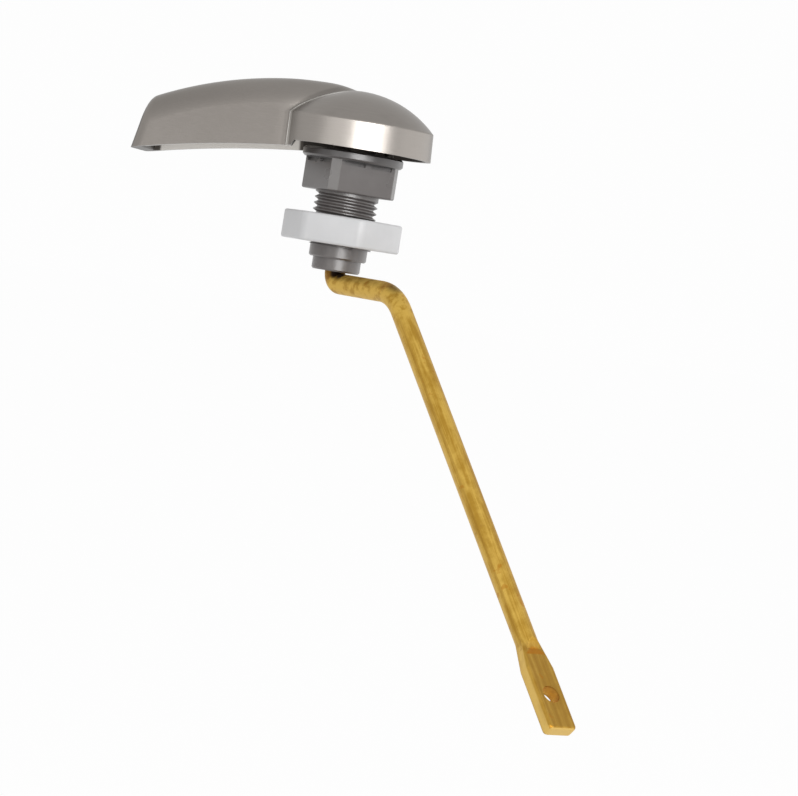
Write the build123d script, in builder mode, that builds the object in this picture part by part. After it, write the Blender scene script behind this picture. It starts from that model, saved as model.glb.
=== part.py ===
from build123d import *
import os
from math import cos, radians, sin, sqrt, tan

# Cistern lever: a die-cast handle and a bent brass rod turn together in a moulded bushing, which a
# hexagonal nut clamps in the square hole of a cistern wall.
# Millimetres. The turning axis is Z, pointing out of the cistern towards the handle. The origin is
# on that axis, in the plane of the flange's underside, which seats on the wall. X and Y run along
# the faces of the square shank, Y up the wall. Bearings are degrees from +X, seen from outside.

# Clearances
turning_gap = 0.05
thread_gap = 0.08
seat_gap = 0.3

# Turning: the lever stands at the pressed end of its stroke
handle_bearing = 235.0
rod_lead = 133.0
stroke = 50.0

# Bushing
flange_radius = 12.7
flange_thickness = 2.4
flange_chamfer = 0.5
shank_side = 18.6
shank_height = 8.0
shank_corner = 1.7
shank_end_round = 0.5
relief_land = 0.2
relief_height = 0.9
relief_depth = 0.7
relief_margin = 1.0
relief_rib = 1.5
barrel_radius = 8.0
barrel_length = 13.5
pilot_radius = 7.27
pilot_length = 3.1
pilot_chamfer = 0.4
nose_radius = 6.1
nose_length = 3.1
nose_chamfer = 0.4
mouth_flare = 1.2

# Stop: a peg under the handle runs in an arc slot in the flange
stop_radius = 8.9
stop_peg_radius = 1.2
stop_slot_depth = 1.2

# Nut
nut_across_flats = 27.0
nut_height = 7.2
nut_turn = -6.0
nut_corner_round = 1.0
nut_face_inset = 0.3
nut_chamfer_angle = 9.0
nut_below_wall_face = 13.9

# Rod
rod_radius = 2.6
drive_flat_depth = 0.6
drive_flat_length = 8.0
leg_reach = 27.2
first_bend_radius = 3.2
second_bend_radius = 13.5
arm_slope = 45.0
arm_length = 126.4
flat_length = 23.9
flat_thickness = 3.2
flat_start_width = 4.9
flat_width = 7.8
flat_flare_length = 7.5
flat_corner_round = 1.1
flat_edge_round = 0.7
shoulder_length = 2.6
chain_hole_radius = 2.2
chain_hole_from_end = 9.1

# Handle
wall = 2.0
hub_rim_radius = 19.4
hub_rim_height = 2.9
hub_draft = 3.0
band_height = 7.0
dome_height = 8.0
dome_edge_round = 0.7
boss_radius = 5.6
socket_depth = 11.0
web_thickness = 1.8
web_lift = 2.5
web_spread = 70.0
stop_web_turn = 180.0
handle_reach = 55.2
handle_draft = 9.5
shoulder_reach = 16.0
shoulder_half_width = 13.6
shoulder_blend = 25.0
tip_half_width = 11.2
root_reach = -3.0
root_half_width = 10.5
top_round = 8.0
hollow_chamfer = 3.2
tip_round = 3.2
crest_height = 18.8
crest_reach = 8.5
crest_fall = 11.65
crest_hub_radius = 25.0
rim_step_reach = 13.0
arch_reach = 14.0
arch_height = 1.5
arch_rise = 0.75
arch_tip_height = -5.1
skirt_depth = 2.0
crease_round = 0.8

# Heights along the axis, downwards from the wall face
shank_end = -shank_height
barrel_end = shank_end - barrel_length
pilot_end = barrel_end - pilot_length
nose_end = pilot_end - nose_length
leg_height = nose_end - seat_gap - rod_radius
bore_radius = rod_radius + turning_gap
boss_end = flange_thickness + seat_gap
rod_top = boss_end + socket_depth
drive_flat_start = rod_top - drive_flat_length
stop_slot_floor = flange_thickness - stop_slot_depth

# Directions
up = Vector(0, 0, 1)
handle_out = Vector(1, 0, 0).rotate(Axis.Z, handle_bearing)
rod_out = Vector(1, 0, 0).rotate(Axis.Z, handle_bearing + rod_lead)


def upright_plane(outwards):
    """Plane through the turning axis: x outwards, y up the axis."""
    return Plane(origin=(0, 0, 0), x_dir=outwards, z_dir=outwards.cross(up))


def arc_radius(run, fall):
    """Radius of an arc that leaves level and falls so far over a run."""
    return (run**2 + fall**2) / (2 * fall)


def arc_drop(run, radius):
    """Fall of an arc that leaves level, after a run."""
    return radius - sqrt(radius**2 - run**2)


# Handle: the arm's outer form and its hollow, each a drafted plan outline cut to a side profile
crest_root = crest_height - arc_drop(crest_reach - root_reach, crest_hub_radius)
crest_tip = crest_height - crest_fall
skirt_end = arch_tip_height - skirt_depth
arm_shapes = []
for inset, soften, crest_size in ((0.0, fillet, top_round), (wall, chamfer, hollow_chamfer)):
    with BuildPart() as arm_shape:
        with BuildSketch(Plane((0, 0, skirt_end - inset), x_dir=handle_out, z_dir=up)) as arm_plan:
            with BuildLine():
                Polyline(
                    (root_reach, -root_half_width + inset),
                    (shoulder_reach, -shoulder_half_width + inset),
                    (handle_reach - inset, -tip_half_width + inset),
                    (handle_reach - inset, tip_half_width - inset),
                    (shoulder_reach, shoulder_half_width - inset),
                    (root_reach, root_half_width - inset),
                    close=True,
                )
            make_face()
            fillet(arm_plan.vertices().group_by(Axis.X)[1], shoulder_blend)
        extrude(amount=crest_height - skirt_end + inset, taper=handle_draft)
        with BuildSketch(upright_plane(handle_out)):
            with BuildLine():
                Polyline(
                    (root_reach, crest_root - inset),
                    (root_reach, skirt_end - inset),
                    (handle_reach, skirt_end - inset),
                    (handle_reach, crest_tip - inset),
                )
                TangentArc(
                    (crest_reach, crest_height - inset), (handle_reach, crest_tip - inset), tangent=(1, 0)
                )
                TangentArc(
                    (crest_reach, crest_height - inset), (root_reach, crest_root - inset), tangent=(-1, 0)
                )
            make_face()
        extrude(amount=shoulder_half_width, both=True, mode=Mode.INTERSECT)
        crest_edges = arm_shape.faces().filter_by(lambda face: face.normal_at().Z > 0.5).edges()
        soften(crest_edges.filter_by(GeomType.LINE, reverse=True), crest_size)
        tip_face = arm_shape.faces().sort_by(Axis((0, 0, 0), handle_out))[-1]
        soften(tip_face.edges().sort_by(Axis.Z)[1:], tip_round - inset)
    arm_shapes.append(arm_shape.part)
arm_form, arm_hollow = arm_shapes

band_top = hub_rim_height + band_height
band_radius = hub_rim_radius - band_height * tan(radians(hub_draft))
skirt_radius = hub_rim_radius + (hub_rim_height - skirt_end) * tan(radians(hub_draft))
dome_top = band_top + dome_height
dome_radius = arc_radius(band_radius, dome_height)
hollow_rim_radius = hub_rim_radius - wall
hollow_band_radius = band_radius - wall
hollow_top = dome_top - wall - arc_drop(boss_radius, dome_radius - wall)
hollow_band_top = dome_top - wall - arc_drop(hollow_band_radius, dome_radius - wall)

with BuildPart() as handle:
    # Domed hub
    with BuildSketch(Plane.XZ) as hub_outline:
        with BuildLine():
            Polyline((0, dome_top), (0, skirt_end), (skirt_radius, skirt_end), (band_radius, band_top))
            RadiusArc((band_radius, band_top), (0, dome_top), -dome_radius)
        make_face()
        fillet(hub_outline.vertices().sort_by_distance((band_radius, band_top))[0], dome_edge_round)
    revolve(axis=Axis.Z)
    add(arm_form)
    fillet(handle.edges(Select.NEW).filter_by(Plane.XY, reverse=True), crease_round)

    # Underside: level round the hub, arched along the arm
    with BuildSketch(upright_plane(handle_out)):
        with BuildLine():
            Polyline(
                (handle_reach, arch_tip_height),
                (handle_reach, skirt_end),
                (-skirt_radius, skirt_end),
                (-skirt_radius, hub_rim_height),
                (rim_step_reach, hub_rim_height),
                (arch_reach, arch_height),
            )
            SagittaArc((arch_reach, arch_height), (handle_reach, arch_tip_height), arch_rise)
        make_face()
    extrude(amount=skirt_radius, both=True, mode=Mode.SUBTRACT)

    # Hollow underneath
    with BuildSketch(Plane.XZ):
        with BuildLine():
            Polyline(
                (0, hollow_top),
                (0, skirt_end),
                (hollow_rim_radius, skirt_end),
                (hollow_rim_radius, hub_rim_height),
                (hollow_band_radius, hollow_band_top),
                (boss_radius, hollow_top),
                close=True,
            )
        make_face()
    revolve(axis=Axis.Z, mode=Mode.SUBTRACT)
    add(arm_hollow, mode=Mode.SUBTRACT)

    # Boss for the rod, webs and stop peg
    with BuildSketch(Plane.XY.offset(boss_end)):
        Circle(boss_radius)
    extrude(amount=dome_top - wall / 2 - boss_end)
    web_floor = hub_rim_height + web_lift
    web_start = (rod_radius + boss_radius) / 2
    for turn in (-web_spread, 0.0, web_spread):
        with BuildSketch(upright_plane(handle_out.rotate(Axis.Z, stop_web_turn + turn))):
            with BuildLine():
                Polyline(
                    (web_start, web_floor),
                    (hub_rim_radius - wall / 2, web_floor),
                    (band_radius - wall / 2, band_top),
                    (boss_radius, hollow_top),
                    (web_start, hollow_top),
                    close=True,
                )
            make_face()
        extrude(amount=web_thickness / 2, both=True)
    peg_place = handle_out.rotate(Axis.Z, stop_web_turn) * stop_radius
    with BuildSketch(Plane.XY.offset(stop_slot_floor + seat_gap)):
        with Locations((peg_place.X, peg_place.Y)):
            Circle(stop_peg_radius)
    extrude(amount=web_floor + web_thickness - stop_slot_floor - seat_gap)

    # Socket, with a flat that drives the rod
    with BuildSketch(Plane.XY.offset(boss_end)):
        Circle(rod_radius)
    extrude(amount=socket_depth, mode=Mode.SUBTRACT)
    with BuildSketch(Plane((0, 0, drive_flat_start), x_dir=rod_out, z_dir=up)):
        Circle(rod_radius)
        with Locations((-drive_flat_depth, 0)):
            Rectangle(2 * rod_radius, 2 * rod_radius, mode=Mode.SUBTRACT)
    extrude(amount=drive_flat_length)
handle.part.label = "handle"

# Rod: round brass bar, bent twice in one upright plane, with a pressed and drilled end
arm_out = rod_out * cos(radians(arm_slope)) - up * sin(radians(arm_slope))
arm_face = rod_out * sin(radians(arm_slope)) + up * cos(radians(arm_slope))
arm_root = rod_out * leg_reach + up * leg_height
flat_start = arm_length - flat_length
flare_end = flat_start + flat_flare_length
shoulder_end = flat_start + shoulder_length
round_end_reach = leg_reach + shoulder_end * cos(radians(arm_slope))
round_end_height = leg_height - shoulder_end * sin(radians(arm_slope))
side_plane = Plane(arm_root, x_dir=arm_out, z_dir=arm_out.cross(arm_face))
flat_plane = Plane(arm_root, x_dir=arm_out, z_dir=arm_face)

with BuildPart() as pressed_end:
    with BuildSketch(flat_plane) as blade_outline:
        with BuildLine():
            Polyline(
                (flat_start, -flat_start_width / 2),
                (flare_end, -flat_width / 2),
                (arm_length, -flat_width / 2),
                (arm_length, flat_width / 2),
                (flare_end, flat_width / 2),
                (flat_start, flat_start_width / 2),
                close=True,
            )
        make_face()
        fillet(blade_outline.vertices().group_by(Axis.X)[-1], flat_corner_round)
    extrude(amount=flat_thickness / 2, both=True)
    blade_faces = pressed_end.faces().sort_by(Axis((0, 0, 0), arm_face))
    blade_edges = blade_faces[0].edges() + blade_faces[-1].edges()
    fillet(blade_edges.sort_by(Axis((0, 0, 0), arm_out))[2:], flat_edge_round)

with BuildPart() as lever_rod:
    with BuildLine(upright_plane(rod_out)):
        FilletPolyline(
            (0, rod_top),
            (0, leg_height),
            (leg_reach, leg_height),
            (round_end_reach, round_end_height),
            radius=(first_bend_radius, second_bend_radius),
        )
    with BuildSketch(Plane.XY.offset(rod_top)):
        Circle(rod_radius)
    sweep()

    # Flat that the handle's socket drives
    with BuildSketch(Plane((0, 0, drive_flat_start), x_dir=rod_out, z_dir=up)):
        Circle(rod_radius)
        with Locations((-drive_flat_depth, 0)):
            Rectangle(2 * rod_radius, 2 * rod_radius, mode=Mode.SUBTRACT)
    extrude(amount=drive_flat_length, mode=Mode.SUBTRACT)

    # Shoulders left by the press on both faces, the blade and its chain hole
    with BuildSketch(side_plane):
        with BuildLine():
            Polyline(
                (flat_start, rod_radius),
                (shoulder_end, flat_thickness / 2),
                (arm_length, flat_thickness / 2),
                (arm_length, rod_radius),
                close=True,
            )
        make_face()
        mirror(about=Plane.XZ)
    extrude(amount=rod_radius, both=True, mode=Mode.SUBTRACT)
    add(pressed_end.part)
    with BuildSketch(flat_plane):
        with Locations((arm_length - chain_hole_from_end, 0)):
            Circle(chain_hole_radius)
    extrude(amount=flat_thickness, both=True, mode=Mode.SUBTRACT)
lever_rod.part.label = "lever_rod"

# Bushing: flange, square shank, threaded barrel shown plain at its crests, pilot and nose
pocket_length = shank_side / 2 - shank_corner - relief_margin - relief_rib / 2
pocket_offset = (relief_rib + pocket_length) / 2
peg_bearing = handle_bearing + stop_web_turn
stop_path = CenterArc((0, 0), stop_radius, peg_bearing - stroke, stroke)

with BuildPart() as bushing:
    with BuildSketch():
        Circle(flange_radius)
    extrude(amount=flange_thickness)
    chamfer(bushing.edges().filter_by(GeomType.CIRCLE), flange_chamfer)
    with BuildSketch() as shank_outline:
        Rectangle(shank_side, shank_side)
        chamfer(shank_outline.vertices(), shank_corner)
    extrude(amount=-shank_height)
    fillet(bushing.faces().sort_by(Axis.Z)[0].edges(), shank_end_round)
    with BuildSketch(Plane.XY.offset(shank_end)):
        Circle(barrel_radius)
    extrude(amount=-barrel_length)
    with BuildSketch(Plane.XY.offset(barrel_end)):
        Circle(pilot_radius)
    extrude(amount=-pilot_length)
    chamfer(bushing.faces().sort_by(Axis.Z)[0].edges(), pilot_chamfer)
    with BuildSketch(Plane.XY.offset(pilot_end)):
        Circle(nose_radius)
    extrude(amount=-nose_length)
    chamfer(bushing.faces().sort_by(Axis.Z)[0].edges(), nose_chamfer)

    # Relief under the flange, two pockets on each face of the shank with a rib between them
    with BuildSketch(Plane.XY.offset(-relief_land)):
        with PolarLocations(shank_side / 2, 4):
            with Locations((0, -pocket_offset), (0, pocket_offset)):
                Rectangle(2 * relief_depth, pocket_length)
    extrude(amount=-relief_height, mode=Mode.SUBTRACT)

    # Arc slot for the stop peg
    with BuildSketch(Plane.XY.offset(flange_thickness)):
        SlotArc(stop_path, height=2 * (stop_peg_radius + seat_gap))
    extrude(amount=-stop_slot_depth, mode=Mode.SUBTRACT)

    # Bore for the rod, flared where the rod's bend leaves it
    with BuildSketch(Plane.XY.offset(flange_thickness)):
        Circle(bore_radius)
    extrude(amount=nose_end - flange_thickness, mode=Mode.SUBTRACT)
    mouth = bushing.edges().filter_by(GeomType.CIRCLE).group_by(Axis.Z)[0].sort_by(SortBy.RADIUS)[0]
    chamfer(mouth, mouth_flare)
bushing.part.label = "bushing"

# Nut: hexagon with rounded corners, chamfered round both faces
nut_face_radius = nut_across_flats / 2 - nut_face_inset
nut_outer_radius = nut_across_flats / sqrt(3)
nut_corner_drop = (nut_outer_radius - nut_face_radius) * tan(radians(nut_chamfer_angle))
nut_top = -nut_below_wall_face
nut_bottom = nut_top - nut_height

with BuildPart() as mounting_nut:
    with BuildSketch(Plane.XY.offset(nut_bottom)):
        RegularPolygon(nut_outer_radius, 6, rotation=nut_turn)
    extrude(amount=nut_height)
    fillet(mounting_nut.edges().filter_by(Axis.Z), nut_corner_round)
    with BuildSketch(Plane.XZ):
        with BuildLine():
            Polyline(
                (0, nut_bottom),
                (nut_face_radius, nut_bottom),
                (nut_outer_radius, nut_bottom + nut_corner_drop),
                (nut_outer_radius, nut_top - nut_corner_drop),
                (nut_face_radius, nut_top),
                (0, nut_top),
                close=True,
            )
        make_face()
    revolve(axis=Axis.Z, mode=Mode.INTERSECT)
    with BuildSketch(Plane.XY.offset(nut_bottom)):
        Circle(barrel_radius + thread_gap)
    extrude(amount=nut_height, mode=Mode.SUBTRACT)
mounting_nut.part.label = "mounting_nut"

os.makedirs("parts", exist_ok=True)
for piece in (handle, lever_rod, bushing, mounting_nut):
    export_step(piece.part, f"parts/{piece.part.label}.step")
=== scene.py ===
from math import cos, radians, sin, tan, tau

import bpy
from mathutils import Matrix, Vector


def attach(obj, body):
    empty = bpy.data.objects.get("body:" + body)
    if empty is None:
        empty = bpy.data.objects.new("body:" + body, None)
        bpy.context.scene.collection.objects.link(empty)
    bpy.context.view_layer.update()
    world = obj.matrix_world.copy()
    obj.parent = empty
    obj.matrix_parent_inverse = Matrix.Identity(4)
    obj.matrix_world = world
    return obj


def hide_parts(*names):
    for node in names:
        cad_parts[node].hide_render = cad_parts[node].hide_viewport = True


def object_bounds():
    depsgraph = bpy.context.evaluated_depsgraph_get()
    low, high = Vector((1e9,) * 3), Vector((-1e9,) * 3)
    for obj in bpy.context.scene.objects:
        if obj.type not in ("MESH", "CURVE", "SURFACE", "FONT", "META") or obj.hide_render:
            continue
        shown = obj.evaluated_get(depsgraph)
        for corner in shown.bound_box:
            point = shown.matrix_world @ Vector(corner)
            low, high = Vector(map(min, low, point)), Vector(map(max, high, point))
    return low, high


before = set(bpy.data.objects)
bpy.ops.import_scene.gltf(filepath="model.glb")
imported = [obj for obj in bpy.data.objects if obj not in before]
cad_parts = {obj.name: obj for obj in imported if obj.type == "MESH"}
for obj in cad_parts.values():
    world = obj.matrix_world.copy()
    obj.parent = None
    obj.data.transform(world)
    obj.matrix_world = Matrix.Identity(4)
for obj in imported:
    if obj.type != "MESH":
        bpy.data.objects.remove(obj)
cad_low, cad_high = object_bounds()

# Metres, in the model's frame: Z is the turning axis, out of the cistern towards the handle.
MM = 0.001

# Bearings round the turning axis, in degrees from +X
HANDLE_BEARING = 235.0
ROD_BEARING = HANDLE_BEARING + 133.0

# Handle: the hub's rim, drafted band and dome, and the arm's plan, crest and rounded top
HUB_RADIUS = 19.4 * MM
HUB_RIM = 2.9 * MM
HUB_DRAFT = 3.0
DOME_TOP = 17.9 * MM
DOME_RADIUS = 26.6 * MM
ROOT_REACH = -3.0 * MM
ROOT_HALF_WIDTH = 10.5 * MM
SHOULDER_REACH = 16.0 * MM
SHOULDER_HALF_WIDTH = 13.6 * MM
TIP_REACH = 55.2 * MM
TIP_HALF_WIDTH = 11.2 * MM
PLAN_HEIGHT = -7.1 * MM
ARM_DRAFT = 9.5
CREST_REACH = 8.5 * MM
CREST_HEIGHT = 18.8 * MM
CREST_RADIUS = 99.4 * MM
CREST_HUB_RADIUS = 25.0 * MM
TOP_ROUND = 6.0 * MM
WALL = 2.0 * MM
INNER_TIP = TIP_REACH - 4.2 * MM

# Handle's finish: depths at which the hollow starts and is reached, distances from the crease over which
# its painted highlight line and the painted glow beside it fade in, where the line starts along the arm, the
# heights over which the arm's top gets a painted light, and how often the brush lines vary
HOLLOW_DEPTHS = (0.4 * WALL, 0.8 * WALL)
CREASE_LINE = (-1.3 * MM, -0.7 * MM)
CREASE_GLOW = (-3.2 * MM, -1.0 * MM)
CREASE_START = (1.5 * MM, 6.5 * MM)
TOP_LIGHT_HEIGHTS = (9.0 * MM, 17.0 * MM)
BRUSH_ROUND_HUB = 4.0
BRUSH_ACROSS_HUB = 9000.0
BRUSH_ALONG_ARM = 60.0
BRUSH_ACROSS_ARM = 8000.0

# Bushing: its square shank with cut corners, and the left-hand thread of its barrel, whose cutter reaches
# past the crests by the overcut
SHANK_SIDE = 18.6 * MM
SHANK_CORNER = 1.7 * MM
SHANK_END = -8.0 * MM
THREAD_TOP = SHANK_END - 0.05 * MM
THREAD_END = -21.5 * MM
THREAD_PITCH = 1.5 * MM
THREAD_CREST = 8.0 * MM
THREAD_ROOT = 7.12 * MM
CREST_FLAT = 0.22 * MM
ROOT_FLAT = 0.26 * MM
OVERCUT = 1.04
THREAD_STEPS = 72

# Nut: edges sharper than its edge angle, in degrees, are rounded
NUT_ACROSS_FLATS = 27.0 * MM
NUT_HEIGHT = 7.2 * MM
NUT_BOTTOM = -21.1 * MM
NUT_BORE = 8.08 * MM
NUT_TURN = -36.0
NUT_CORNER_ROUND = 2.8 * MM
NUT_EDGE_ROUND = 0.6 * MM
NUT_EDGE_ANGLE = 40.0
HALF_SIDE_ANGLE = radians(30)

# Rod: the arm starts where the second bend's straight runs would meet
LEG_REACH = 27.2 * MM
LEG_HEIGHT = -30.6 * MM
ARM_SLOPE = 45.0
ARM_LENGTH = 126.4 * MM
FLAT_LENGTH = 23.9 * MM
CHAIN_HOLE_FROM_END = 9.1 * MM

# Rod's finish: the way to the side of the arm that gets painted shade, whose other side gets painted light,
# as shares across the arm and out of its face, and the bow of the mark that the press left at the shoulder,
# per metre
SHADED_SIDE = (0.72, 0.69)
PRESS_MARK_BOW = 260.0

# Meshes: vertices closer than this are one, rounds have this many sides, and edges flatter than this
# many degrees are smooth
MERGE_GAP = 1e-7
ROUND_SIDES = 96
SMOOTH_ANGLE = 30.0


# Shader maths


class Signal:
    """A shader value. Arithmetic on it adds Math nodes to its material."""

    def __init__(self, finish, socket):
        self.finish = finish
        self.socket = socket

    def maths(self, operation, first, second):
        return self.finish.add("ShaderNodeMath", {"operation": operation}, {0: first, 1: second})

    def __add__(self, other):
        return self.maths("ADD", self, other)

    def __sub__(self, other):
        return self.maths("SUBTRACT", self, other)

    def __rsub__(self, other):
        return self.maths("SUBTRACT", other, self)

    def __mul__(self, other):
        return self.maths("MULTIPLY", self, other)

    def __truediv__(self, other):
        return self.maths("DIVIDE", self, other)

    def __pow__(self, other):
        return self.maths("POWER", self, other)

    def __or__(self, other):
        return self.maths("MAXIMUM", self, other)

    def __and__(self, other):
        return self.maths("MINIMUM", self, other)

    def __abs__(self):
        return self.finish.add("ShaderNodeMath", {"operation": "ABSOLUTE"}, {0: self})

    __radd__ = __add__
    __rmul__ = __mul__


class Finish:
    """A node tree of a material or the world, whose nodes are added one at a time."""

    def __init__(self, owner):
        owner.use_nodes = True
        self.owner = owner
        self.tree = owner.node_tree

    def add(self, kind, settings=None, inputs=None, output=0):
        """Adds a node with its settings, then its socket values or links, and gives one output."""
        node = self.tree.nodes.new(kind)
        for name, value in (settings or {}).items():
            setattr(node, name, value)
        for name, value in (inputs or {}).items():
            self.feed(node.inputs[name], value)
        return Signal(self, node.outputs[output])

    def feed(self, socket, value):
        if isinstance(value, Signal):
            self.tree.links.new(value.socket, socket)
        else:
            socket.default_value = value

    def shade(self, **values):
        """Sets or links sockets of the material's Principled shader, named with underscores."""
        shader = self.tree.nodes["Principled BSDF"]
        for name, value in values.items():
            self.feed(shader.inputs[name.replace("_", " ").title().replace("Ior", "IOR")], value)

    def place(self):
        """Object coordinates of the surface, as a vector and as three values."""
        point = self.add("ShaderNodeTexCoord", output="Object")
        return point, *[self.add("ShaderNodeSeparateXYZ", None, {0: point}, axis) for axis in "XYZ"]

    def vector(self, x, y, z):
        return self.add("ShaderNodeCombineXYZ", None, {0: x, 1: y, 2: z})

    def noise(self, vector, scale, detail=4.0, roughness=0.55):
        inputs = {"Vector": vector, "Scale": scale, "Detail": detail, "Roughness": roughness}
        return self.add("ShaderNodeTexNoise", None, inputs)

    def ramp(self, value, low, high, to_low=0.0, to_high=1.0):
        """Smooth change from one value to another as a value goes from low to high."""
        inputs = {"Value": value, "From Min": low, "From Max": high, "To Min": to_low, "To Max": to_high}
        return self.add("ShaderNodeMapRange", {"interpolation_type": "SMOOTHSTEP"}, inputs)

    def mix(self, share, first, second):
        """Mix of two colours."""
        return self.add("ShaderNodeMix", {"data_type": "RGBA"}, {0: share, 6: first, 7: second}, 2)

    def near(self, point, spot, inner, outer):
        """1 at a spot, falling to 0 between two distances from it."""
        inputs = {0: point, 1: tuple(spot)}
        gap = self.add("ShaderNodeVectorMath", {"operation": "DISTANCE"}, inputs, "Value")
        return self.ramp(gap, inner, outer, 1.0, 0.0)

    def seen(self):
        """1 for what the camera sees directly, in a reflection or through glass."""
        rays = [
            self.add("ShaderNodeLightPath", None, None, kind)
            for kind in ("Is Camera Ray", "Is Glossy Ray", "Is Transmission Ray")
        ]
        return (rays[0] | rays[1]) | rays[2]

    def bump(self, height, strength, distance):
        inputs = {"Strength": strength, "Distance": distance, "Height": height}
        return self.add("ShaderNodeBump", None, inputs)


def shade_of(red, green, blue):
    """A colour written in the screen's 0 to 255 values."""
    return tuple((c / 255) ** 2.2 for c in (red, green, blue)) + (1.0,)


def new_finish(name):
    return Finish(bpy.data.materials.new(name))


def brushed_nickel():
    """Satin plating, brushed round the hub and along the arm, with a painted highlight on the crease and a
    painted shade line beside it, painted light on the arm's top, plain plating inside made paler as a
    painted reflection, and painted shade inside the hub and at the tip's inner corner.
    """
    finish = new_finish("brushed_nickel")
    point, x, y, z = finish.place()
    radius = (x * x + y * y) ** 0.5
    bearing = radians(HANDLE_BEARING)
    along = x * cos(bearing) + y * sin(bearing)
    across = y * cos(bearing) - x * sin(bearing)

    # Depth of the surface under the hub's and the arm's outer forms
    dome = DOME_TOP - DOME_RADIUS + (((DOME_RADIUS**2 - radius * radius) | 0.0) ** 0.5)
    band = HUB_RADIUS - (z - HUB_RIM) * tan(radians(HUB_DRAFT))
    under_hub = (band - radius) & (dome - z)
    root_spread = (SHOULDER_HALF_WIDTH - ROOT_HALF_WIDTH) / (SHOULDER_REACH - ROOT_REACH)
    tip_taper = (SHOULDER_HALF_WIDTH - TIP_HALF_WIDTH) / (TIP_REACH - SHOULDER_REACH)
    half_plan = (ROOT_HALF_WIDTH + (along - ROOT_REACH) * root_spread) & (
        SHOULDER_HALF_WIDTH - (along - SHOULDER_REACH) * tip_taper
    )
    half_width = half_plan - (z - PLAN_HEIGHT) * tan(radians(ARM_DRAFT))
    past_crest = (along - CREST_REACH) | 0.0
    before_crest = (CREST_REACH - along) | 0.0
    outer_arc = (CREST_RADIUS**2 - past_crest * past_crest) ** 0.5 + CREST_HEIGHT - CREST_RADIUS
    hub_arc = ((CREST_HUB_RADIUS**2 - before_crest * before_crest) | 0.0) ** 0.5
    crest = outer_arc + hub_arc - CREST_HUB_RADIUS
    to_side = (abs(across) - half_width + TOP_ROUND) | 0.0
    to_crest = (z - crest + TOP_ROUND) | 0.0
    under_arm = (TOP_ROUND - (to_side * to_side + to_crest * to_crest) ** 0.5) & (along - ROOT_REACH)
    hollow = finish.ramp(under_hub | under_arm, *HOLLOW_DEPTHS)
    hub_inside = finish.ramp(under_hub, *HOLLOW_DEPTHS)
    tip_inside = finish.ramp(along, INNER_TIP - 0.4 * MM, INNER_TIP + 0.4 * MM)
    on_arm = finish.ramp(under_arm - under_hub, -0.1 * MM, 0.1 * MM)
    past_root = finish.ramp(along, *CREASE_START)
    from_crease = under_hub & under_arm
    crease = finish.ramp(from_crease, *CREASE_LINE) * past_root
    beside_crease = finish.ramp(from_crease, *CREASE_GLOW) * past_root

    round_hub = finish.vector(
        x / radius * BRUSH_ROUND_HUB, y / radius * BRUSH_ROUND_HUB, (z + radius) * BRUSH_ACROSS_HUB
    )
    down_arm = finish.vector(along * BRUSH_ALONG_ARM, across * BRUSH_ACROSS_ARM, z * BRUSH_ACROSS_ARM)
    hub_lines = finish.noise(round_hub, 1.0, 3.0)
    arm_lines = finish.noise(down_arm, 1.0, 3.0)
    lines = arm_lines * on_arm + hub_lines * (1 - on_arm)
    cloud = finish.noise(point, 60.0, 2.0)
    tone = finish.ramp(lines * 0.6 + cloud * 0.4, 0.3, 0.7)
    # Painted light: the arm's top is made paler towards the crest
    painted_top_light = finish.ramp(z, *TOP_LIGHT_HEIGHTS) * on_arm
    lightness_and_top_light = tone * 0.4 + (1 - on_arm) * 0.6 + painted_top_light * 0.5
    # Brushed tone, carrying the painted light on the arm's top
    brushed = finish.mix(lightness_and_top_light, shade_of(131, 126, 121), shade_of(146, 141, 136))
    # Plain plating inside the hollow, made paler as a painted reflection of light from below
    plated_sheen = finish.mix(cloud, shade_of(186, 182, 176), shade_of(194, 190, 185))
    # Painted highlight on the hub's side of the crease, with a fainter painted glow beside it, and a painted
    # shade line on the arm's side
    painted_crease_highlight = (crease | beside_crease * 0.2) * (1 - on_arm)
    crease_shade_line = finish.mix(crease * on_arm * 0.45, brushed, shade_of(108, 104, 100))
    outside = finish.mix(painted_crease_highlight, crease_shade_line, shade_of(230, 227, 222))
    # Painted shade: the hub's inside and the inner corner at the arm's tip are darkened
    inside = finish.mix(hub_inside | tip_inside, plated_sheen, shade_of(84, 80, 76))
    finish.shade(
        base_color=finish.mix(hollow, outside, inside),
        metallic=1.0,
        roughness=0.31 + lines * 0.06 + hub_inside * 0.2,
        specular_tint=(0.82, 0.82, 0.82, 1.0),
        normal=finish.bump(lines * (1 - hollow), 0.035, 0.03 * MM),
    )
    return finish.owner


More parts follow.
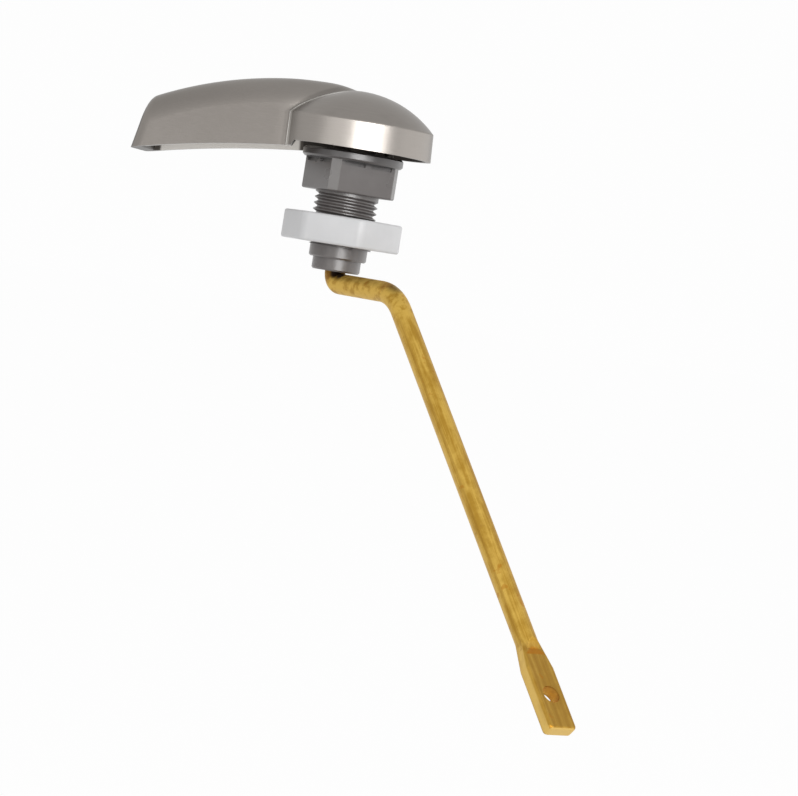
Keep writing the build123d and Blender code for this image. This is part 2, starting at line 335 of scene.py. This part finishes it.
def tarnished_brass():
    """Raw drawn brass, dull and mottled, browned at the bends, the pressed shoulder and the chain hole, with
    painted light on one side of the arm, painted shade and a painted dark reflection line beside it, and
    painted shade inside the first bend.
    """
    finish = new_finish("tarnished_brass")
    point = finish.place()[0]
    rod = radians(ROD_BEARING)
    slope = radians(ARM_SLOPE)
    up = Vector((0, 0, 1))
    out = Vector((cos(rod), sin(rod), 0))
    arm = out * cos(slope) - up * sin(slope)
    sideways = Vector((-sin(rod), cos(rod), 0))
    face = arm.cross(sideways)
    root = out * LEG_REACH + up * LEG_HEIGHT
    hole = root + arm * (ARM_LENGTH - CHAIN_HOLE_FROM_END)
    shoulder = root + arm * (ARM_LENGTH - FLAT_LENGTH)

    def measured(way, start):
        """Distance of the surface from a place, along a direction."""
        inputs = {0: point, 1: tuple(way)}
        reach = finish.add("ShaderNodeVectorMath", {"operation": "DOT_PRODUCT"}, inputs, "Value")
        return reach - start.dot(way)

    along, across, lift = (measured(way, shoulder) for way in (arm, sideways, face))
    draw_lines = finish.noise(finish.vector(along * 60, across * 3200, lift * 3200), 1.0, 3.0)
    streaks = finish.noise(finish.vector(along * 90, across * 650, lift * 650), 1.0, 2.0)
    mottle = finish.noise(point, 420.0, 4.0, 0.6)
    blotches = finish.noise(point, 190.0, 5.0, 0.65)
    press_lines = finish.noise(finish.vector(along * 12, across * 820, 0.0), 1.0, 1.0)
    on_arm = finish.ramp(along, -96.0 * MM, -92.0 * MM)
    on_flat = finish.ramp(along, 0.5 * MM, 3.0 * MM)
    on_face = on_flat * finish.ramp(abs(lift), 0.9 * MM, 1.4 * MM)
    on_end = finish.ramp(along, FLAT_LENGTH - 0.4 * MM, FLAT_LENGTH - 0.1 * MM)
    turned_away = across * SHADED_SIDE[0] + lift * SHADED_SIDE[1]
    # Painted dark reflection: a dark line along the arm, next to its painted light
    arm_side = on_arm * (1 - on_flat) * finish.ramp(across, -2.35 * MM, -2.1 * MM, 1.0, 0.0)
    dark_reflection_line = arm_side * finish.ramp(abs(lift - 0.75 * MM), 0.15 * MM, 0.5 * MM, 1.0, 0.0)
    browned = (
        finish.near(point, up * (LEG_HEIGHT + 2.2 * MM), 2.0 * MM, 6.0 * MM)
        | finish.near(point, root + up * 1.4 * MM - out * 2.0 * MM, 1.0 * MM, 4.5 * MM)
        | finish.near(point, shoulder + arm * 1.6 * MM, 1.0 * MM, 4.5 * MM)
        | finish.near(point, hole, 1.6 * MM, 3.8 * MM)
    )
    mark_start = finish.ramp(along - across * across * PRESS_MARK_BOW, 1.8 * MM, 2.6 * MM)
    mark_end = finish.ramp(along, 3.9 * MM, 4.3 * MM, 1.0, 0.0)
    press_mark = mark_start * on_face * mark_end
    # Painted shade: the leg's top inside the first bend is made near black; the spot at the second bend is
    # grime
    bend_inside = up * (LEG_HEIGHT + 2.6 * MM) - sideways * 1.5 * MM
    grime_and_bend_shade = (
        finish.near(point, bend_inside + out * 2.6 * MM, 0.9 * MM, 2.0 * MM)
        | finish.near(point, bend_inside + out * 4.8 * MM, 0.9 * MM, 2.0 * MM)
        | finish.near(point, root + out * 0.5 * MM + up * 1.8 * MM, 0.5 * MM, 3.2 * MM) * blotches * 1.3
    )
    hole_wall = finish.ramp(abs(lift), 1.5 * MM, 1.65 * MM, 1.0, 0.5)
    in_hole = finish.near(point, hole, 2.1 * MM, 2.9 * MM) * hole_wall
    specks = finish.ramp(finish.noise(point, 330.0, 2.0), 0.64, 0.72)
    arm_tone = draw_lines * 0.3 + streaks * 0.45 + mottle * 0.25
    tone = arm_tone * on_arm + (mottle + 0.06) * (1 - on_arm)
    golden = finish.mix(finish.ramp(tone, 0.40, 0.60), shade_of(171, 132, 50), shade_of(203, 167, 80))
    # Painted light: the arm's side turned away from the painted shade is made paler; the flat's sides are
    # paler too
    lit_side_and_flat_edges = on_arm * finish.ramp(turned_away, -2.6 * MM, -1.6 * MM, 1.0, 0.0) | on_flat * (1 - on_face)
    shaded = on_arm * (1 - on_flat) * finish.ramp(turned_away, 1.8 * MM, 2.9 * MM)
    # Drawn brass, carrying the painted light on one side
    drawn = finish.mix(lit_side_and_flat_edges * 0.45, golden, shade_of(222, 190, 116))
    # Painted shade on the arm's shaded side, with the painted dark reflection line
    shaded_and_reflected = finish.mix(shaded * 0.6 | dark_reflection_line * 0.45, drawn, shade_of(152, 113, 42))
    pressed = on_face * (0.55 + finish.ramp(press_lines, 0.40, 0.64) * 0.3)
    dulled = finish.mix(pressed, shaded_and_reflected, shade_of(150, 112, 42))
    stain = finish.ramp(blotches + browned * 0.25, 0.61, 0.88)
    stained = finish.mix(stain, dulled, shade_of(142, 98, 30))
    rusty = finish.mix(specks * 0.5 | press_mark * (0.3 + mottle), stained, shade_of(168, 108, 20))
    bored = finish.mix(in_hole * 0.85, rusty, shade_of(200, 144, 46))
    # Grime, and the painted shade inside the first bend
    grimed_and_shaded = finish.mix(grime_and_bend_shade, bored, shade_of(46, 27, 8))
    colour = finish.mix(on_end, grimed_and_shaded, shade_of(217, 183, 106))
    finish.shade(
        base_color=colour,
        metallic=0.85 - (stain | grime_and_bend_shade) * 0.3,
        roughness=0.46 + stain * 0.1 + mottle * 0.1,
        normal=finish.bump(draw_lines * 0.5 + mottle * 0.5, 0.12, 0.08 * MM),
    )
    return finish.owner


def shank_light_and_shade(finish, colour):
    """Painted highlight on the shank's cut corners, a painted shadow along its top under the flange, and
    painted shade on the flange.
    """
    x, y, z = finish.place()[1:]
    on_shank = finish.ramp(z, SHANK_END, SHANK_END + 0.5 * MM) * finish.ramp(z, 0.0, 0.05 * MM, 1.0, 0.0)
    cut_face = SHANK_SIDE - SHANK_CORNER
    # Painted highlight on the shank's cut corners
    corner = finish.ramp(abs(x) + abs(y), cut_face - 0.35 * MM, cut_face - 0.05 * MM)
    corner_highlighted = finish.mix(corner * on_shank * 0.8, colour, shade_of(122, 119, 117))
    # Painted shadow along the shank's top, just under the flange
    under_flange_shadow = finish.ramp(z, -0.8 * MM, -0.2 * MM) * on_shank * (1 - corner)
    # Painted shade on the flange, as under the hub's rim
    on_flange = finish.ramp(z, 0.0, 0.05 * MM)
    return finish.mix(under_flange_shadow | on_flange * 0.6, corner_highlighted, shade_of(52, 48, 47))


def moulded_plastic(name, colour, paler, gloss_spread, gloss, marks=None):
    """Moulded plastic with faint flow marks and a fine spark-eroded grain."""
    finish = new_finish(name)
    point = finish.place()[0]
    flow = finish.noise(point, 130.0, 3.0)
    grain = finish.noise(point, 4200.0, 2.0)
    moulded = finish.mix(finish.ramp(flow, 0.35, 0.68), colour, paler)
    # marks, where given, adds painted highlight and painted shade
    finish.shade(
        base_color=marks(finish, moulded) if marks else moulded,
        roughness=gloss_spread + flow * 0.1,
        specular_ior_level=gloss,
        normal=finish.bump(grain, 0.08, 0.03 * MM),
    )
    return finish.owner


# Modelling helpers


def pick_only(obj):
    bpy.ops.object.select_all(action="DESELECT")
    obj.select_set(True)
    bpy.context.view_layer.objects.active = obj


def apply_modifier(obj, kind, **settings):
    pick_only(obj)
    modifier = obj.modifiers.new(kind.title(), kind)
    for name, value in settings.items():
        setattr(modifier, name, value)
    bpy.ops.object.modifier_apply(modifier=modifier.name)


def helix(name, outline, start, turns):
    """A left-hand helical bar: a closed outline of (radius, height) corners, screwed round Z."""
    bpy.ops.object.select_all(action="DESELECT")
    bpy.ops.mesh.primitive_circle_add(vertices=len(outline), radius=MM, fill_type="NOTHING")
    bar = bpy.context.object
    bar.name = name
    for vertex, (radius, height) in zip(bar.data.vertices, outline):
        vertex.co = (radius, 0, start + height)
    steps = round(THREAD_STEPS * turns)
    apply_modifier(
        bar,
        "SCREW",
        axis="Z",
        angle=-tau * turns,
        screw_offset=THREAD_PITCH * turns,
        iterations=1,
        steps=steps,
        render_steps=steps,
        use_merge_vertices=False,
    )
    pick_only(bar)
    bpy.ops.object.mode_set(mode="EDIT")
    bpy.ops.mesh.select_all(action="SELECT")
    bpy.ops.mesh.remove_doubles(threshold=MERGE_GAP)
    bpy.ops.mesh.select_all(action="DESELECT")
    bpy.ops.mesh.select_non_manifold()
    bpy.ops.mesh.edge_face_add()
    bpy.ops.mesh.select_all(action="SELECT")
    bpy.ops.mesh.normals_make_consistent(inside=False)
    bpy.ops.object.mode_set(mode="OBJECT")
    return bar


def copy_of(node, name):
    """A merged copy of a CAD node's mesh, as a new piece without a material."""
    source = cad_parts[node]
    piece = bpy.data.objects.new(name, source.data.copy())
    bpy.context.scene.collection.objects.link(piece)
    piece.data.materials.clear()
    pick_only(piece)
    bpy.ops.object.mode_set(mode="EDIT")
    bpy.ops.mesh.select_all(action="SELECT")
    bpy.ops.mesh.remove_doubles(threshold=MERGE_GAP)
    bpy.ops.object.mode_set(mode="OBJECT")
    bpy.ops.mesh.customdata_custom_splitnormals_clear()
    return piece


def finish_piece(piece, material):
    piece.data.materials.append(material)
    pick_only(piece)
    bpy.ops.object.shade_smooth_by_angle(angle=radians(SMOOTH_ANGLE))


# Materials, and the CAD nodes that keep their own shape

nickel = brushed_nickel()
brass = tarnished_brass()
grey_plastic = moulded_plastic(
    "grey_plastic",
    shade_of(95, 90, 88),
    shade_of(100, 95, 93),
    gloss_spread=0.24,
    gloss=0.75,
    marks=shank_light_and_shade,
)
white_plastic = moulded_plastic(
    "white_plastic", shade_of(203, 203, 204), shade_of(208, 208, 209), gloss_spread=0.38, gloss=0.5
)

for node, material in (("handle", nickel), ("lever_rod", brass)):
    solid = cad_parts[node]
    solid.data.materials.clear()
    solid.data.materials.append(material)

# Bushing with its thread cut into the barrel

bushing = copy_of("bushing", "bushing_threaded")
flank = (THREAD_PITCH - CREST_FLAT - ROOT_FLAT) / 2
half_mouth = ROOT_FLAT / 2 + flank * (1 + (OVERCUT - 1) * THREAD_CREST / (THREAD_CREST - THREAD_ROOT))
groove_outline = [
    (THREAD_ROOT, -ROOT_FLAT / 2),
    (THREAD_ROOT, ROOT_FLAT / 2),
    (THREAD_CREST * OVERCUT, half_mouth),
    (THREAD_CREST * OVERCUT, -half_mouth),
]
thread_turns = (THREAD_TOP - half_mouth - THREAD_END) / THREAD_PITCH
groove = helix("groove", groove_outline, THREAD_END, thread_turns)
apply_modifier(bushing, "BOOLEAN", operation="DIFFERENCE", object=groove, solver="EXACT")
bpy.data.objects.remove(groove)
finish_piece(bushing, grey_plastic)
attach(bushing, "fixed")
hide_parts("bushing")

# Nut: a rounded hexagon, drawn up to its height, bored and softened at its edges

bpy.ops.object.select_all(action="DESELECT")
bpy.ops.mesh.primitive_circle_add(
    vertices=6,
    radius=NUT_ACROSS_FLATS / 2 / cos(HALF_SIDE_ANGLE),
    fill_type="NGON",
    location=(0, 0, NUT_BOTTOM),
    rotation=(0, 0, radians(NUT_TURN)),
)
nut = bpy.context.object
nut.name = "nut_moulded"
bpy.ops.object.transform_apply(location=True, rotation=True, scale=True)
bpy.ops.object.mode_set(mode="EDIT")
bpy.ops.mesh.select_all(action="SELECT")
bpy.ops.mesh.bevel(offset=NUT_CORNER_ROUND * tan(HALF_SIDE_ANGLE), segments=8, affect="VERTICES")
bpy.ops.mesh.select_all(action="SELECT")
bpy.ops.mesh.extrude_region_move(TRANSFORM_OT_translate={"value": (0, 0, NUT_HEIGHT)})
bpy.ops.mesh.select_all(action="SELECT")
bpy.ops.mesh.normals_make_consistent(inside=False)
bpy.ops.object.mode_set(mode="OBJECT")
bpy.ops.object.select_all(action="DESELECT")
bpy.ops.mesh.primitive_cylinder_add(
    vertices=ROUND_SIDES, radius=NUT_BORE, depth=3 * NUT_HEIGHT, location=(0, 0, NUT_BOTTOM + NUT_HEIGHT / 2)
)
drill = bpy.context.object
apply_modifier(nut, "BOOLEAN", operation="DIFFERENCE", object=drill, solver="EXACT")
bpy.data.objects.remove(drill)
apply_modifier(
    nut,
    "BEVEL",
    width=NUT_EDGE_ROUND,
    segments=4,
    limit_method="ANGLE",
    angle_limit=radians(NUT_EDGE_ANGLE),
)
finish_piece(nut, white_plastic)
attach(nut, "nut")
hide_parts("mounting_nut")

# Stage: a pale floor well under the lever, and a white surround with a grey ceiling

FLOOR_DROP = 0.03
FLOOR_RADIUS = 6.0
FLOOR_WHITENESS = 0.95
WALL_WHITE = (0.985, 0.985, 0.985, 1)
CEILING_GREY = (0.84, 0.84, 0.84, 1)
CEILING_RISE = (0.35, 0.95)
ROOM_LIGHT = 0.83

bpy.ops.object.select_all(action="DESELECT")
bpy.ops.mesh.primitive_circle_add(
    vertices=ROUND_SIDES, radius=FLOOR_RADIUS, fill_type="NGON", location=(0, 0, cad_low.z - FLOOR_DROP)
)
floor = bpy.context.object
floor.name = "floor"

floor_finish = new_finish("pale_floor")
floor_finish.tree.nodes.remove(floor_finish.tree.nodes["Principled BSDF"])
lit = floor_finish.add("ShaderNodeBsdfDiffuse", None, {"Color": (0.8, 0.8, 0.8, 1)})
white = floor_finish.add("ShaderNodeEmission", None, {"Color": (1, 1, 1, 1), "Strength": 1.0})
whiteness = floor_finish.seen() * FLOOR_WHITENESS
surface = floor_finish.add("ShaderNodeMixShader", None, {0: whiteness, 1: lit, 2: white})
floor_finish.feed(floor_finish.tree.nodes["Material Output"].inputs["Surface"], surface)
floor.data.materials.append(floor_finish.owner)

world = bpy.data.worlds.new("studio")
bpy.context.scene.world = world
studio = Finish(world)
way = studio.add("ShaderNodeTexCoord", output="Generated")
steepness = studio.add("ShaderNodeSeparateXYZ", None, {0: way}, "Z")
ceiling = studio.ramp(steepness, *CEILING_RISE)
seen_colour = studio.mix(ceiling, WALL_WHITE, CEILING_GREY)
seen_light = studio.add("ShaderNodeBackground", None, {"Color": seen_colour, "Strength": 1.0})
soft_light = studio.add("ShaderNodeBackground", None, {"Color": (1, 1, 1, 1), "Strength": ROOM_LIGHT})
mixed = studio.add("ShaderNodeMixShader", None, {0: studio.seen(), 1: soft_light, 2: seen_light})
studio.feed(world.node_tree.nodes["World Output"].inputs["Surface"], mixed)

# Camera at the photograph's angle, rolled so that the turning axis leans to the right

CAMERA_BEARING = -26.0
CAMERA_DISTANCE = 0.755
CAMERA_HEIGHT = -24.0 * MM
CAMERA_ROLL = 9.1
AIM_RIGHT = 20.9 * MM
AIM_HEIGHT = -56.6 * MM
HALF_FRAME = 399 / 3000
SENSOR_WIDTH = 36.0

camera_bearing = radians(CAMERA_BEARING)
right = Vector((-sin(camera_bearing), cos(camera_bearing), 0))
outward = Vector((cos(camera_bearing), sin(camera_bearing), 0))
position = outward * CAMERA_DISTANCE + Vector((0, 0, CAMERA_HEIGHT))
aim = right * AIM_RIGHT + Vector((0, 0, AIM_HEIGHT))
forward = (aim - position).normalized()
level = forward.cross(Vector((0, 0, 1))).normalized()
upright = level.cross(forward)
roll = radians(CAMERA_ROLL)
camera_right = level * cos(roll) + upright * sin(roll)
camera_up = upright * cos(roll) - level * sin(roll)

camera_data = bpy.data.cameras.new("camera")
camera_data.sensor_width = SENSOR_WIDTH
camera_data.lens = SENSOR_WIDTH / 2 / HALF_FRAME
camera = bpy.data.objects.new("camera", camera_data)
turn = Matrix((camera_right, camera_up, -forward)).transposed()
camera.matrix_world = Matrix.Translation(position) @ turn.to_4x4()
bpy.context.scene.collection.objects.link(camera)
bpy.context.scene.camera = camera

# Lamps, placed by their angle from the camera and their height: a softbox, and cards that only
# show in the gloss of the metal and the plastic

LAMP_DISTANCE = 0.9


def softbox(name, angle, height, size, power, card=False):
    place = camera_bearing + radians(angle)
    lamp_data = bpy.data.lights.new(name, "AREA")
    lamp_data.shape = "RECTANGLE"
    lamp_data.size, lamp_data.size_y = size
    lamp_data.energy = power
    lamp = bpy.data.objects.new(name, lamp_data)
    lamp.location = Vector((cos(place) * LAMP_DISTANCE, sin(place) * LAMP_DISTANCE, height))
    lamp.rotation_euler = (-lamp.location).to_track_quat("-Z", "Y").to_euler()
    lamp.visible_diffuse = not card
    bpy.context.scene.collection.objects.link(lamp)


softbox("key_softbox", 24.0, 0.33, (0.5, 0.3), 2.3)
softbox("front_card", 12.0, 0.04, (0.52, 0.16), 2.5, card=True)
softbox("band_card", 21.0, 0.15, (0.84, 0.07), 2.8, card=True)
softbox("left_card", -30.0, 0.08, (0.66, 0.09), 0.62, card=True)
softbox("side_card", 105.0, 0.05, (1.4, 0.4), 1.1, card=True)

bpy.context.scene.view_settings.view_transform = "Standard"
